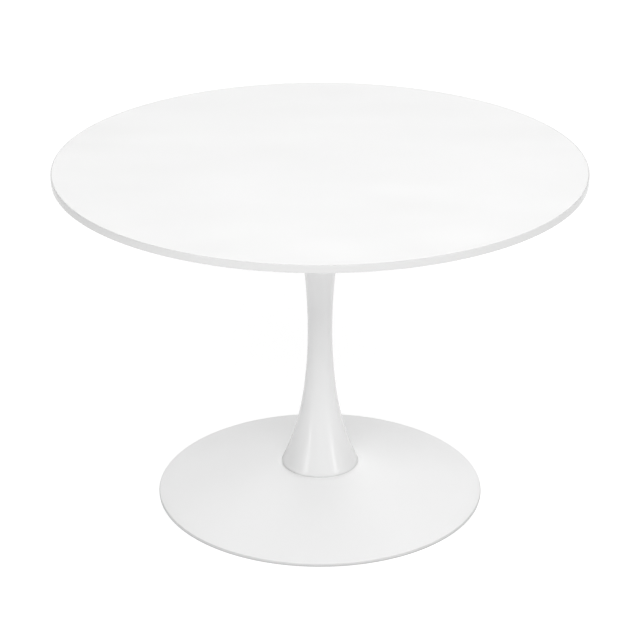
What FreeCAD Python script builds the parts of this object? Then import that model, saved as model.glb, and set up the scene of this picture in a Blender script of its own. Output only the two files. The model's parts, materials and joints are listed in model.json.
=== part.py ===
"""Round pedestal table: a laminated disc top on a trumpet column and a domed steel base.

One long tie rod clamps the base, the column and the spider together, and the top is
screwed onto the spider's arms. Six levelling glides carry the base.

Millimetres, +Z up. The origin is on the floor, under the middle of the table.
Each function makes one kind of piece where it sits in the table, and the table at the
end names every piece.
"""

import FreeCAD, Part
import math
import os

# --- Driving dimensions ------------------------------------------------------------------

TABLE_HEIGHT = 750.0
TOP_RADIUS = 550.0
TOP_THICKNESS = 16.0
BASE_RADIUS = 350.0

# The top is a fibreboard disc between two laminates, with an edge band round it.
LAMINATE = 0.8
EDGE_BAND = 2.0
EDGE_BAND_ARRIS = 1.2

# The spider is a hub plate with four folded arms welded on it.
ARM_COUNT = 4
ARM_FIRST_ANGLE = 45.0
ARM_SHEET = 2.5
ARM_WIDTH = 36.0
ARM_INNER_END = 26.0
ARM_LENGTH = 290.0
ARM_DEPTH_AT_HUB = 20.0
ARM_DEPTH_AT_TIP = 10.0
ARM_SCREW_RADII = (140.0, 270.0)
HUB_RADIUS = 100.0
HUB_THICKNESS = 6.0
BOSS_RADIUS = 14.0
BOSS_LENGTH = 24.0

# The column is spun from sheet. Both of its ends open out from a narrow waist.
COLUMN_WALL = 2.0
COLUMN_FOOT_RADIUS = 82.4
COLUMN_WAIST_RADIUS = 26.2
COLUMN_HEAD_RADIUS = 84.0
WAIST_HEIGHT = 377.0
FLARE_SHARPNESS = 2.0
COLUMN_LIP = 2.5
COLUMN_SPLINE_SPANS = 8
END_PLATE = 4.0
END_PLATE_GAP = 0.4

# The base is a pressed dish: a flat seat under the column, a cone, and a turned-down rim.
CROWN_HEIGHT = 68.5
SEAT_RADIUS = 92.0
SEAT_BEND = 24.0
RIM_HEIGHT = 10.0
RIM_CLEARANCE = 3.0
RIM_TOP_ROUND = 3.0
RIM_FOOT_ROUND = 1.2
DISH_SHEET = 3.0
CROWN_PLATE_RADIUS = 74.0
CROWN_PLATE = 5.0
GASKET = 1.5
GASKET_INNER_RADIUS = 60.0
GASKET_PROUD = 0.8

# A cast ring under the cone keeps the table from tipping.
BALLAST_INNER_RADIUS = 115.0
BALLAST_OUTER_RADIUS = 210.0
BALLAST_THICKNESS = 11.0
BALLAST_GAP = 1.5
BALLAST_ROUND = 2.0
BALLAST_STUD_COUNT = 4
BALLAST_STUD_CIRCLE = 165.0
SPOTFACE_RADIUS = 11.0
SPOTFACE_DEPTH = 2.5
BALLAST_STUD_REACH = 11.0

# Levelling glides: a threaded stud that turns in a welded nut, on a pad that stays still.
GLIDE_COUNT = 6
GLIDE_FIRST_ANGLE = 30.0
GLIDE_CIRCLE = 278.0
GLIDE_RING_SHEET = 3.0
GLIDE_RING_UNDERSIDE = 14.0
GLIDE_RING_INNER_RADIUS = 258.0
GLIDE_NUT = 6.0
GLIDE_STUD_TOP = 21.5
PAD_RADIUS = 16.0
PAD_HEIGHT = 6.5
PAD_ARRIS = 1.0
PAD_TAPER = 1.5
BALL_RADIUS = 3.0
BALL_HEIGHT = 4.3
NECK_RADIUS = 2.0
COLLAR = 1.1

# Fasteners. A thread is a plain cylinder, with room between a shank and what it turns in.
THREAD_ROOM = 0.06
HOLE_ROOM = 0.3
ROD_RADIUS = 6.0
ROD_END = 37.5
ROD_BELOW_HUB_TOP = 2.0
ROD_NUT_ACROSS = 19.0
ROD_NUT = 10.8
ROD_WASHER_RADIUS = 25.0
ROD_WASHER = 4.0
SPRING_WASHER_RADIUS = 10.5
SPRING_WASHER = 3.0
SPRING_WASHER_SPLIT = 2.0
M8_RADIUS = 4.0
M8_ACROSS = 13.0
M8_NUT = 6.5
M8_WASHER_RADIUS = 8.0
M8_WASHER = 1.5
M6_RADIUS = 3.0
M6_HEAD_RADIUS = 5.25
M6_HEAD = 3.3
M6_HEAD_FLAT_RADIUS = 2.9
M6_SOCKET_ACROSS = 4.0
M6_SOCKET_DEPTH = 2.0
M6_WASHER_RADIUS = 6.0
M6_WASHER = 1.2
M6_SHANK = 11.0
INSERT_RADIUS = 4.5
INSERT_LENGTH = 10.0
INSERT_FLANGE_RADIUS = 6.0
CHAMFER = 1.0

# --- Heights worked out from those -------------------------------------------------------

TOP_UNDERSIDE = TABLE_HEIGHT - TOP_THICKNESS
HUB_TOP = TOP_UNDERSIDE - ARM_SHEET
COLUMN_HEAD = HUB_TOP - HUB_THICKNESS
COLUMN_FOOT = CROWN_HEIGHT + GASKET
CONE_SLOPE = (CROWN_HEIGHT - RIM_HEIGHT) / (BASE_RADIUS - SEAT_RADIUS)
CONE_STRETCH = math.hypot(1.0, CONE_SLOPE)
CROWN_UNDERSIDE = CROWN_HEIGHT - DISH_SHEET
CROWN_PLATE_UNDERSIDE = CROWN_UNDERSIDE - CROWN_PLATE
ROD_WASHER_UNDERSIDE = CROWN_PLATE_UNDERSIDE - ROD_WASHER
SPRING_WASHER_UNDERSIDE = ROD_WASHER_UNDERSIDE - SPRING_WASHER
GLIDE_NUT_UNDERSIDE = GLIDE_RING_UNDERSIDE - GLIDE_NUT
BALLAST_TOP_GAP = DISH_SHEET + BALLAST_GAP
BALLAST_BOTTOM_GAP = BALLAST_TOP_GAP + BALLAST_THICKNESS
SPOTFACE_HEIGHT = (
    RIM_HEIGHT
    + (BASE_RADIUS - BALLAST_STUD_CIRCLE) * CONE_SLOPE
    - BALLAST_BOTTOM_GAP * CONE_STRETCH
    + SPOTFACE_DEPTH
)

Z_AXIS = FreeCAD.Vector(0, 0, 1)
ORIGIN = FreeCAD.Vector(0, 0, 0)


# --- Small helpers -----------------------------------------------------------------------


def point(radius, height):
    """A point of an outline: how far it is from the Z axis, and how high."""
    return FreeCAD.Vector(radius, 0, height)


def disc(radius, low, high):
    """A round plate or bar on the Z axis."""
    return Part.makeCylinder(radius, high - low, point(0, low))


def ring(inner, outer, low, high):
    return disc(outer, low, high).cut(disc(inner, low, high))


def rounded_edges(corners):
    """The edges of a closed outline. Each corner is (radius, height, size of its round)."""
    edges = []
    starts = []
    ends = []
    for i, (radius, height, size) in enumerate(corners):
        here = point(radius, height)
        before = (point(*corners[i - 1][:2]) - here).normalize()
        after = (point(*corners[(i + 1) % len(corners)][:2]) - here).normalize()
        half = before.getAngle(after) / 2
        reach = size / math.tan(half)
        starts.append(here + before * reach)
        ends.append(here + after * reach)
        if size:
            bisector = (before + after).normalize()
            middle = here + bisector * (size / math.sin(half) - size)
            edges.append(Part.Arc(starts[-1], middle, ends[-1]).toShape())
    for i, end in enumerate(ends):
        start = starts[(i + 1) % len(corners)]
        if end.distanceToPoint(start) > 1e-6:
            edges.append(Part.LineSegment(end, start).toShape())
    return edges


def turned(edges):
    """A solid of revolution about the Z axis, from the edges of a closed outline."""
    wire = Part.Wire(Part.__sortEdges__(edges))
    return Part.Face(wire).revolve(ORIGIN, Z_AXIS, 360)


def hexagon(across, low, high):
    """A hexagonal bar on the Z axis, by its size across the flats."""
    corner_radius = across / math.sqrt(3)
    corners = [
        FreeCAD.Vector(
            corner_radius * math.cos(math.radians(60 * i)),
            corner_radius * math.sin(math.radians(60 * i)),
            low,
        )
        for i in range(7)
    ]
    return Part.Face(Part.makePolygon(corners)).extrude(Z_AXIS * (high - low))


def chamfered_bar(radius, low, high, chamfer=CHAMFER):
    """A round bar whose two ends are chamfered."""
    outline = [
        (0, low, 0),
        (radius - chamfer, low, 0),
        (radius, low + chamfer, 0),
        (radius, high - chamfer, 0),
        (radius - chamfer, high, 0),
        (0, high, 0),
    ]
    return turned(rounded_edges(outline))


def hex_nut(across, bore, low, high):
    """A hexagonal nut with its corners turned off at both ends."""
    corner_radius = across / math.sqrt(3)
    corners_off = chamfered_bar(corner_radius, low, high, (corner_radius - across / 2) * 0.9)
    return hexagon(across, low, high).common(corners_off).cut(disc(bore, low, high))


def around(shape, radius, count, first_angle):
    """Copies of a piece made on the Z axis, moved out to a circle."""
    moved = shape.translated(FreeCAD.Vector(radius, 0, 0))
    return [
        moved.rotated(ORIGIN, Z_AXIS, first_angle + 360.0 * i / count)
        for i in range(count)
    ]


def on_arms(shape):
    """Copies of a piece made on the Z axis, one for each screw of the spider."""
    copies = []
    for radius in ARM_SCREW_RADII:
        copies += around(shape, radius, ARM_COUNT, ARM_FIRST_ANGLE)
    return copies


def group(solids):
    return Part.makeCompound(solids)


# --- The top -----------------------------------------------------------------------------


def table_board():
    """The fibreboard core, with a blind hole for each insert."""
    low = TOP_UNDERSIDE + LAMINATE
    core = disc(TOP_RADIUS - EDGE_BAND, low, TABLE_HEIGHT - LAMINATE)
    hole = disc(INSERT_RADIUS, TOP_UNDERSIDE, TOP_UNDERSIDE + INSERT_LENGTH)
    screw_room = disc(M6_RADIUS + HOLE_ROOM, TOP_UNDERSIDE, HUB_TOP + M6_SHANK + CHAMFER)
    return core.cut(on_arms(hole)).cut(on_arms(screw_room))


def top_laminate():
    return disc(TOP_RADIUS - EDGE_BAND, TABLE_HEIGHT - LAMINATE, TABLE_HEIGHT)


def backing_laminate():
    sheet = disc(TOP_RADIUS - EDGE_BAND, TOP_UNDERSIDE, TOP_UNDERSIDE + LAMINATE)
    hole = disc(INSERT_FLANGE_RADIUS, TOP_UNDERSIDE, TOP_UNDERSIDE + LAMINATE)
    return sheet.cut(on_arms(hole))


def edge_band():
    """The band round the board, with a small round on both outer edges."""
    inner = TOP_RADIUS - EDGE_BAND
    outline = [
        (inner, TOP_UNDERSIDE, 0),
        (TOP_RADIUS, TOP_UNDERSIDE, EDGE_BAND_ARRIS),
        (TOP_RADIUS, TABLE_HEIGHT, EDGE_BAND_ARRIS),
        (inner, TABLE_HEIGHT, 0),
    ]
    return turned(rounded_edges(outline))


def board_inserts():
    """Threaded inserts, pressed into the board with their flange level with the laminate."""
    body = disc(INSERT_RADIUS, TOP_UNDERSIDE, TOP_UNDERSIDE + INSERT_LENGTH)
    flange = disc(INSERT_FLANGE_RADIUS, TOP_UNDERSIDE, TOP_UNDERSIDE + LAMINATE)
    bore = disc(M6_RADIUS + THREAD_ROOM, TOP_UNDERSIDE, TOP_UNDERSIDE + INSERT_LENGTH)
    return group(on_arms(body.fuse(flange).removeSplitter().cut(bore)))


# --- The spider --------------------------------------------------------------------------


def spider_hub():
    """The round plate between the column's head and the arms."""
    return ring(ROD_RADIUS + HOLE_ROOM, HUB_RADIUS, COLUMN_HEAD, HUB_TOP)


def spider_arm(angle):
    """A folded arm: a flat web against the board and two flanges that taper to the tip."""
    half = ARM_WIDTH / 2
    tip = ARM_LENGTH - half
    web = Part.makeBox(
        tip - ARM_INNER_END, ARM_WIDTH, ARM_SHEET, FreeCAD.Vector(ARM_INNER_END, -half, HUB_TOP)
    )
    web = web.fuse(disc(half, HUB_TOP, TOP_UNDERSIDE).translated(FreeCAD.Vector(tip, 0, 0)))
    flange_start = HUB_RADIUS + COLUMN_LIP
    side = [
        point(flange_start, HUB_TOP),
        point(flange_start, TOP_UNDERSIDE - ARM_DEPTH_AT_HUB),
        point(tip, TOP_UNDERSIDE - ARM_DEPTH_AT_TIP),
        point(tip, HUB_TOP),
    ]
    flange = Part.Face(Part.makePolygon(side + side[:1])).extrude(FreeCAD.Vector(0, ARM_SHEET, 0))
    for offset in (-half, half - ARM_SHEET):
        web = web.fuse(flange.translated(FreeCAD.Vector(0, offset, 0)))
    arm = web.removeSplitter()
    hole = disc(M6_RADIUS + HOLE_ROOM, HUB_TOP, TOP_UNDERSIDE)
    for radius in ARM_SCREW_RADII:
        arm = arm.cut(hole.translated(FreeCAD.Vector(radius, 0, 0)))
    return arm.rotated(ORIGIN, Z_AXIS, angle)


def spider_washers():
    low = HUB_TOP - M6_WASHER
    return group(on_arms(ring(M6_RADIUS + HOLE_ROOM, M6_WASHER_RADIUS, low, HUB_TOP)))


def spider_screws():
    """Button-head screws with a hexagonal socket, driven up into the inserts."""
    bearing = HUB_TOP - M6_WASHER
    bottom = bearing - M6_HEAD
    dome = Part.Arc(
        point(M6_HEAD_RADIUS, bearing),
        point(M6_HEAD_RADIUS * 0.86, bearing - M6_HEAD * 0.62),
        point(M6_HEAD_FLAT_RADIUS, bottom),
    )
    head = turned([
        dome.toShape(),
        Part.LineSegment(point(M6_HEAD_FLAT_RADIUS, bottom), point(0, bottom)).toShape(),
        Part.LineSegment(point(0, bottom), point(0, bearing)).toShape(),
        Part.LineSegment(point(0, bearing), point(M6_HEAD_RADIUS, bearing)).toShape(),
    ])
    head = head.cut(hexagon(M6_SOCKET_ACROSS, bottom, bottom + M6_SOCKET_DEPTH))
    shank = chamfered_bar(M6_RADIUS, bearing - CHAMFER, HUB_TOP + M6_SHANK)
    return group(on_arms(head.fuse(shank).removeSplitter()))


def rod_boss():
    """The round nut that is welded under the hub, for the top of the tie rod."""
    boss = chamfered_bar(BOSS_RADIUS, COLUMN_HEAD - BOSS_LENGTH, COLUMN_HEAD)
    return boss.cut(disc(ROD_RADIUS + THREAD_ROOM, COLUMN_HEAD - BOSS_LENGTH, COLUMN_HEAD))


# --- The column --------------------------------------------------------------------------


def column_radius(height):
    """The column's outer radius: a chain curve that opens out below and above the waist."""
    if height < WAIST_HEIGHT:
        reach = WAIST_HEIGHT - COLUMN_FOOT - COLUMN_LIP
        growth = COLUMN_FOOT_RADIUS - COLUMN_WAIST_RADIUS
    else:
        reach = COLUMN_HEAD - COLUMN_LIP - WAIST_HEIGHT
        growth = COLUMN_HEAD_RADIUS - COLUMN_WAIST_RADIUS
    share = min(abs(height - WAIST_HEIGHT) / reach, 1.0)
    flare = (math.cosh(FLARE_SHARPNESS * share) - 1) / (math.cosh(FLARE_SHARPNESS) - 1)
    return COLUMN_WAIST_RADIUS + growth * flare


def column_inner_radius(height):
    """The inner radius at a height, with the wall measured square to the sheet."""
    step = 0.5
    slope = (column_radius(height + step) - column_radius(height - step)) / (2 * step)
    return column_radius(height) - COLUMN_WALL * math.hypot(1.0, slope)


def flare_heights():
    """Heights from lip to lip for the column's curves, with one of them at the waist."""
    foot = COLUMN_FOOT + COLUMN_LIP
    head = COLUMN_HEAD - COLUMN_LIP
    below = [foot + (WAIST_HEIGHT - foot) * i / COLUMN_SPLINE_SPANS
             for i in range(COLUMN_SPLINE_SPANS)]
    above = [WAIST_HEIGHT + (head - WAIST_HEIGHT) * i / COLUMN_SPLINE_SPANS
             for i in range(COLUMN_SPLINE_SPANS + 1)]
    return below + above


def column_shell():
    """The trumpet: one spun sheet with a short upright lip at each end."""
    heights = flare_heights()
    outside = [point(column_radius(z), z) for z in heights]
    inside = [point(column_inner_radius(z), z) for z in heights]
    outer_curve = Part.BSplineCurve()
    outer_curve.interpolate(outside)
    inner_curve = Part.BSplineCurve()
    inner_curve.interpolate(inside)
    lips = [
        outside[0],
        point(outside[0].x, COLUMN_FOOT),
        point(inside[0].x, COLUMN_FOOT),
        inside[0],
    ], [
        outside[-1],
        point(outside[-1].x, COLUMN_HEAD),
        point(inside[-1].x, COLUMN_HEAD),
        inside[-1],
    ]
    edges = [outer_curve.toShape(), inner_curve.toShape()]
    for lip in lips:
        edges += Part.makePolygon(lip).Edges
    return turned(edges)


def end_plate(low, hole):
    """A round plate welded inside an end of the column."""
    narrowest = min(column_inner_radius(low), column_inner_radius(low + END_PLATE))
    return ring(hole, narrowest - END_PLATE_GAP, low, low + END_PLATE)


def tie_rod():
    """The long rod from under the base up through the boss."""
    return chamfered_bar(ROD_RADIUS, ROD_END, HUB_TOP - ROD_BELOW_HUB_TOP)


# --- The base ----------------------------------------------------------------------------


def cone_height(radius, below=0.0):
    """Height of the cone's outer face, or of a face some way below it, square to the sheet."""
    return RIM_HEIGHT + (BASE_RADIUS - radius) * CONE_SLOPE - below * CONE_STRETCH


def cone_radius(height, below):
    """Where a face below the cone's outer face has this height."""
    return BASE_RADIUS - (height - RIM_HEIGHT + below * CONE_STRETCH) / CONE_SLOPE


def base_dish():
    """The pressed dish. Its outline runs out along the top and back along the underside."""
    hole = ROD_RADIUS + HOLE_ROOM
    lip_inner = BASE_RADIUS - DISH_SHEET
    outline = [
        (hole, CROWN_HEIGHT, 0),
        (SEAT_RADIUS, CROWN_HEIGHT, SEAT_BEND),
        (BASE_RADIUS, RIM_HEIGHT, RIM_TOP_ROUND),
        (BASE_RADIUS, RIM_CLEARANCE, RIM_FOOT_ROUND),
        (lip_inner, RIM_CLEARANCE, RIM_FOOT_ROUND),
        (lip_inner, cone_height(lip_inner, DISH_SHEET), 0),
        (cone_radius(CROWN_UNDERSIDE, DISH_SHEET), CROWN_UNDERSIDE, SEAT_BEND - DISH_SHEET),
        (hole, CROWN_UNDERSIDE, 0),
    ]
    return turned(rounded_edges(outline))


def foot_gasket():
    """The soft ring that keeps the column's edge off the paint."""
    outer = COLUMN_FOOT_RADIUS + GASKET_PROUD
    return ring(GASKET_INNER_RADIUS, outer, CROWN_HEIGHT, CROWN_HEIGHT + GASKET)


def crown_plate():
    """The plate that is welded under the seat, where the rod pulls."""
    hole = ROD_RADIUS + HOLE_ROOM
    return ring(hole, CROWN_PLATE_RADIUS, CROWN_PLATE_UNDERSIDE, CROWN_UNDERSIDE)


def rod_washer():
    hole = ROD_RADIUS + HOLE_ROOM
    return ring(hole, ROD_WASHER_RADIUS, ROD_WASHER_UNDERSIDE, CROWN_PLATE_UNDERSIDE)


def rod_spring_washer():
    """A split ring."""
    hole = ROD_RADIUS + HOLE_ROOM
    whole = ring(hole, SPRING_WASHER_RADIUS, SPRING_WASHER_UNDERSIDE, ROD_WASHER_UNDERSIDE)
    split = Part.makeBox(
        SPRING_WASHER_RADIUS,
        SPRING_WASHER_SPLIT,
        SPRING_WASHER,
        FreeCAD.Vector(0, -SPRING_WASHER_SPLIT / 2, SPRING_WASHER_UNDERSIDE),
    )
    return whole.cut(split)


def rod_nut():
    low = SPRING_WASHER_UNDERSIDE - ROD_NUT
    return hex_nut(ROD_NUT_ACROSS, ROD_RADIUS + THREAD_ROOM, low, SPRING_WASHER_UNDERSIDE)


# --- The ballast -------------------------------------------------------------------------


def ballast_ring():
    """A cast ring that follows the cone, with flat seats for its four nuts."""
    inner = BALLAST_INNER_RADIUS
    outer = BALLAST_OUTER_RADIUS
    outline = [
        (inner, cone_height(inner, BALLAST_TOP_GAP), BALLAST_ROUND),
        (outer, cone_height(outer, BALLAST_TOP_GAP), BALLAST_ROUND),
        (outer, cone_height(outer, BALLAST_BOTTOM_GAP), BALLAST_ROUND),
        (inner, cone_height(inner, BALLAST_BOTTOM_GAP), BALLAST_ROUND),
    ]
    casting = turned(rounded_edges(outline))
    hole = disc(M8_RADIUS + HOLE_ROOM, 0, CROWN_HEIGHT)
    seat = disc(SPOTFACE_RADIUS, 0, SPOTFACE_HEIGHT)
    return casting.cut(at_ballast_studs(hole) + at_ballast_studs(seat))


def at_ballast_studs(shape):
    return around(shape, BALLAST_STUD_CIRCLE, BALLAST_STUD_COUNT, 0)


def ballast_studs():
    """Studs that are welded to the cone's underside, each cut to the cone's slope."""
    stud = chamfered_bar(M8_RADIUS, SPOTFACE_HEIGHT - BALLAST_STUD_REACH, CROWN_HEIGHT)
    cone_and_above = turned(rounded_edges([
        (0, cone_height(0, DISH_SHEET), 0),
        (BASE_RADIUS, cone_height(BASE_RADIUS, DISH_SHEET), 0),
        (BASE_RADIUS, TABLE_HEIGHT, 0),
        (0, TABLE_HEIGHT, 0),
    ]))
    return group([placed.cut(cone_and_above) for placed in at_ballast_studs(stud)])


def ballast_washers():
    low = SPOTFACE_HEIGHT - M8_WASHER
    washer = ring(M8_RADIUS + HOLE_ROOM, M8_WASHER_RADIUS, low, SPOTFACE_HEIGHT)
    return group(at_ballast_studs(washer))


def ballast_nuts():
    high = SPOTFACE_HEIGHT - M8_WASHER
    nut = hex_nut(M8_ACROSS, M8_RADIUS + THREAD_ROOM, high - M8_NUT, high)
    return group(at_ballast_studs(nut))


# --- The glides --------------------------------------------------------------------------


def at_glides(shape):
    return around(shape, GLIDE_CIRCLE, GLIDE_COUNT, GLIDE_FIRST_ANGLE)


def glide_ring():
    """A flat ring that is welded inside the cone. Its outer edge lies on the cone."""
    low = GLIDE_RING_UNDERSIDE
    high = low + GLIDE_RING_SHEET
    outline = [
        (GLIDE_RING_INNER_RADIUS, low, 0),
        (cone_radius(low, DISH_SHEET), low, 0),
        (cone_radius(high, DISH_SHEET), high, 0),
        (GLIDE_RING_INNER_RADIUS, high, 0),
    ]
    return turned(rounded_edges(outline)).cut(at_glides(disc(M8_RADIUS + HOLE_ROOM, low, high)))


def glide_nuts():
    """The nuts that are welded under the ring."""
    bore = M8_RADIUS + THREAD_ROOM
    nut = hex_nut(M8_ACROSS, bore, GLIDE_NUT_UNDERSIDE, GLIDE_RING_UNDERSIDE)
    return group(at_glides(nut))


def glide_stud():
    """A threaded stud with a hexagonal collar and, under a thin neck, a ball."""
    collar_top = GLIDE_NUT_UNDERSIDE - THREAD_ROOM
    collar_low = collar_top - COLLAR
    ball = Part.makeSphere(BALL_RADIUS, point(0, BALL_HEIGHT))
    neck = disc(NECK_RADIUS, BALL_HEIGHT, collar_low)
    collar = hexagon(M8_ACROSS, collar_low, collar_top)
    shank = chamfered_bar(M8_RADIUS, collar_low, GLIDE_STUD_TOP)
    return ball.fuse([neck, collar, shank]).removeSplitter()


def glide_pad():
    """The round pad, with the socket that the stud's ball turns in."""
    outline = [
        (0, 0, 0),
        (PAD_RADIUS, 0, PAD_ARRIS),
        (PAD_RADIUS - PAD_TAPER, PAD_HEIGHT, PAD_ARRIS),
        (0, PAD_HEIGHT, 0),
    ]
    socket = Part.makeSphere(BALL_RADIUS + THREAD_ROOM, point(0, BALL_HEIGHT))
    mouth = disc(NECK_RADIUS + HOLE_ROOM, BALL_HEIGHT, PAD_HEIGHT)
    return turned(rounded_edges(outline)).cut([socket, mouth])


# --- Every piece, by name ----------------------------------------------------------------

PIECES = {
    "table_board": table_board(),
    "top_laminate": top_laminate(),
    "backing_laminate": backing_laminate(),
    "edge_band": edge_band(),
    "board_inserts": board_inserts(),
    "spider_hub": spider_hub(),
    "spider_washers": spider_washers(),
    "spider_screws": spider_screws(),
    "rod_boss": rod_boss(),
    "column_head_plate": end_plate(COLUMN_HEAD - END_PLATE, BOSS_RADIUS + HOLE_ROOM),
    "column_shell": column_shell(),
    "column_foot_plate": end_plate(COLUMN_FOOT, ROD_RADIUS + HOLE_ROOM),
    "tie_rod": tie_rod(),
    "foot_gasket": foot_gasket(),
    "base_dish": base_dish(),
    "crown_plate": crown_plate(),
    "rod_washer": rod_washer(),
    "rod_spring_washer": rod_spring_washer(),
    "rod_nut": rod_nut(),
    "ballast_ring": ballast_ring(),
    "ballast_studs": ballast_studs(),
    "ballast_washers": ballast_washers(),
    "ballast_nuts": ballast_nuts(),
    "glide_ring": glide_ring(),
    "glide_nuts": glide_nuts(),
}
for i in range(ARM_COUNT):
    PIECES[f"spider_arm_{i + 1}"] = spider_arm(ARM_FIRST_ANGLE + 360.0 * i / ARM_COUNT)
for i, (stud, pad) in enumerate(zip(at_glides(glide_stud()), at_glides(glide_pad()))):
    PIECES[f"glide_stud_{i + 1}"] = stud
    PIECES[f"glide_pad_{i + 1}"] = pad

os.makedirs("parts", exist_ok=True)
for name, shape in PIECES.items():
    shape.exportStep(f"parts/{name}.step")
    print(f"{name}: {len(shape.Solids)} solids, {shape.Volume / 1000:.2f} cm3")
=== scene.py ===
# %% [markdown]
# # Finishing a round pedestal table
#
# The table is a white laminated disc on a slim trumpet column and a low, wide base. The CAD
# model already says how big the pieces are, where they sit and how they move. This lesson turns
# the same pieces again as smooth meshes, gives them the small rounds, threads and welds that
# catch the light, and mixes a finish for each of them.
#
# Two things aren't known. What is under the top and under the base can't be seen on the real
# table, so it is built as such tables usually are. Nor were its colours or the light on it
# measured: the lights were solved for and then adjusted, and the whites were nudged.

import json
import math

import bmesh
import bpy
from mathutils import Matrix, Vector


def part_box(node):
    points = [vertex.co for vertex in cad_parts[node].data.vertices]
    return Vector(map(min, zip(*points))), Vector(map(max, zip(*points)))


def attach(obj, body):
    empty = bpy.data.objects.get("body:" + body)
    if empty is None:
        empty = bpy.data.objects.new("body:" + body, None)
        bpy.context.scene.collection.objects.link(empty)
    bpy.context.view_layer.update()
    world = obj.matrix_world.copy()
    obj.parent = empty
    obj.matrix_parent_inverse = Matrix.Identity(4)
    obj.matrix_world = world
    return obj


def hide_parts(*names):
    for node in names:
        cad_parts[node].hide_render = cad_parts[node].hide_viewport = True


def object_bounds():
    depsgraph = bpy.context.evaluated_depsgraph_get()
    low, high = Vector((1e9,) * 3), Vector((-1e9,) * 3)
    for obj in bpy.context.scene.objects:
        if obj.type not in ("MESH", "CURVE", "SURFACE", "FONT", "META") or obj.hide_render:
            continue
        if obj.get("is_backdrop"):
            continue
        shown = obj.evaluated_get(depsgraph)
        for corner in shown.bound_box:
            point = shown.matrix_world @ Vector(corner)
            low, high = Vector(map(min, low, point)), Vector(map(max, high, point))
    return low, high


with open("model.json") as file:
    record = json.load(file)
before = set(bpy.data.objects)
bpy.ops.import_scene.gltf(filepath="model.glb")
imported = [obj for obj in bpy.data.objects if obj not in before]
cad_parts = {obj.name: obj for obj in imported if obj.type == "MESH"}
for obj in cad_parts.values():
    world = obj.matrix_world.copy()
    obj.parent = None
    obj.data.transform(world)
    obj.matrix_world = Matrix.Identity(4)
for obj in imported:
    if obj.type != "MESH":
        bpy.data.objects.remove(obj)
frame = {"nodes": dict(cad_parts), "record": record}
cad_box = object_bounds()
print("The table's box runs from", tuple(cad_box[0]), "to", tuple(cad_box[1]))

# %% [markdown]
# ## Reading sizes off the frame
#
# Most pieces of this table are turned, so what matters about a CAD node is how far its corners
# are from the middle and how high they are. Typing those numbers again would work, but they
# would go wrong as soon as the design changed. Measuring them keeps each mesh on its part.

# %% Measure a turned part
def reach_and_height(node):
    """Every corner of a node as (distance from the table's middle, height)."""
    return [(v.co.xy.length, v.co.z) for v in frame["nodes"][node].data.vertices]


def low_and_high(node):
    """The lowest and the highest point of a node."""
    low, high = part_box(node)
    return low.z, high.z


def outer_radius(node):
    """The least reach of a round node along the axes, so no new piece outgrows the CAD box."""
    low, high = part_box(node)
    return min(-low.x, -low.y, high.x, high.y)


def innermost(node):
    """The radius of a node's hole."""
    return min(reach for reach, _ in reach_and_height(node))


print("Table height", cad_box[1].z, "and top radius", outer_radius("edge_band"))

# %% Find the copies in a node that holds several
def copies_in(node, apart=0.03):
    """(middle, size) of each solid in a node whose solids stand at least this far apart."""
    piles = []
    for vertex in frame["nodes"][node].data.vertices:
        for pile in piles:
            if (vertex.co.xy - pile[0].xy).length < apart:
                pile.append(vertex.co)
                break
        else:
            piles.append([vertex.co])
    copies = []
    for pile in piles:
        low = Vector([min(co[axis] for co in pile) for axis in range(3)])
        high = Vector([max(co[axis] for co in pile) for axis in range(3)])
        copies.append(((low + high) / 2, high - low))
    return copies


print("Screws under the top:", len(copies_in("spider_screws")))

# %% [markdown]
# ## The camera
#
# The camera stands 4.3 m back and 2.3 m up, well over a person's head, and looks down. From
# there the top is a wide ellipse that hides the column's head. A long lens keeps the base and
# the top in their true proportions, where a short one would swell the near edge. Distance,
# height, tilt and lens were solved for together, from the outlines that the table should have.

# %% Place the camera
CAMERA_BACK = 4.3395
CAMERA_HEIGHT = 2.2982
CAMERA_TILT = 23.62
LENS = 126.0

camera_data = bpy.data.cameras.new("camera")
camera_data.lens = LENS
camera_data.sensor_width = 36.0
camera_data.clip_end = 60.0
camera = bpy.data.objects.new("camera", camera_data)
camera.location = (0, -CAMERA_BACK, CAMERA_HEIGHT)
camera.rotation_euler = (math.radians(90 - CAMERA_TILT), 0, 0)
bpy.context.scene.collection.objects.link(camera)
bpy.context.scene.camera = camera
print("The camera stands", CAMERA_BACK, "m back and", CAMERA_HEIGHT, "m up")

# %% [markdown]
# ## A white studio
#
# White things on white are told apart only by how they shade, so the light decides everything.
# The floor is a sheet of white acrylic lit from below, which studios use so that no dark
# shadow falls round the foot. It glows a little, and it also fills the undersides with light.
# The sky is an even, dim white. It only softens the shadows, so a view from near the floor
# shows it as grey, where a modelled sweep would stay white.
#
# Seven softboxes do the rest. Each was rendered alone first, and their strengths, like the
# floor's glow and the sky's, were then solved for as the mix that came nearest to the wanted
# tones on the top, the column and the base. Ten such mixes were solved, and the best looking
# one was kept and roughly rounded. A weak eighth box was left out of it, and the floor's glow
# and the sky were raised, from 0.73 to 0.79 and from 0.09 to 0.12. So these numbers
# have no deeper reason, and they don't describe a real studio.

# %% Lay the floor
FLOOR_HALF_WIDTH = 80.0
FLOOR_GLOW = 0.79


def glowing_acrylic():
    """A pale floor: mostly its own even glow, and a little diffuse white."""
    material = bpy.data.materials.new("studio_floor")
    material.use_nodes = True
    shader = material.node_tree.nodes["Principled BSDF"]
    shader.inputs["Base Color"].default_value = (0.3, 0.3, 0.3, 1)
    shader.inputs["Roughness"].default_value = 0.9
    shader.inputs["Specular IOR Level"].default_value = 0.0
    shader.inputs["Emission Color"].default_value = (1, 1, 1, 1)
    shader.inputs["Emission Strength"].default_value = FLOOR_GLOW
    return material


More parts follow.
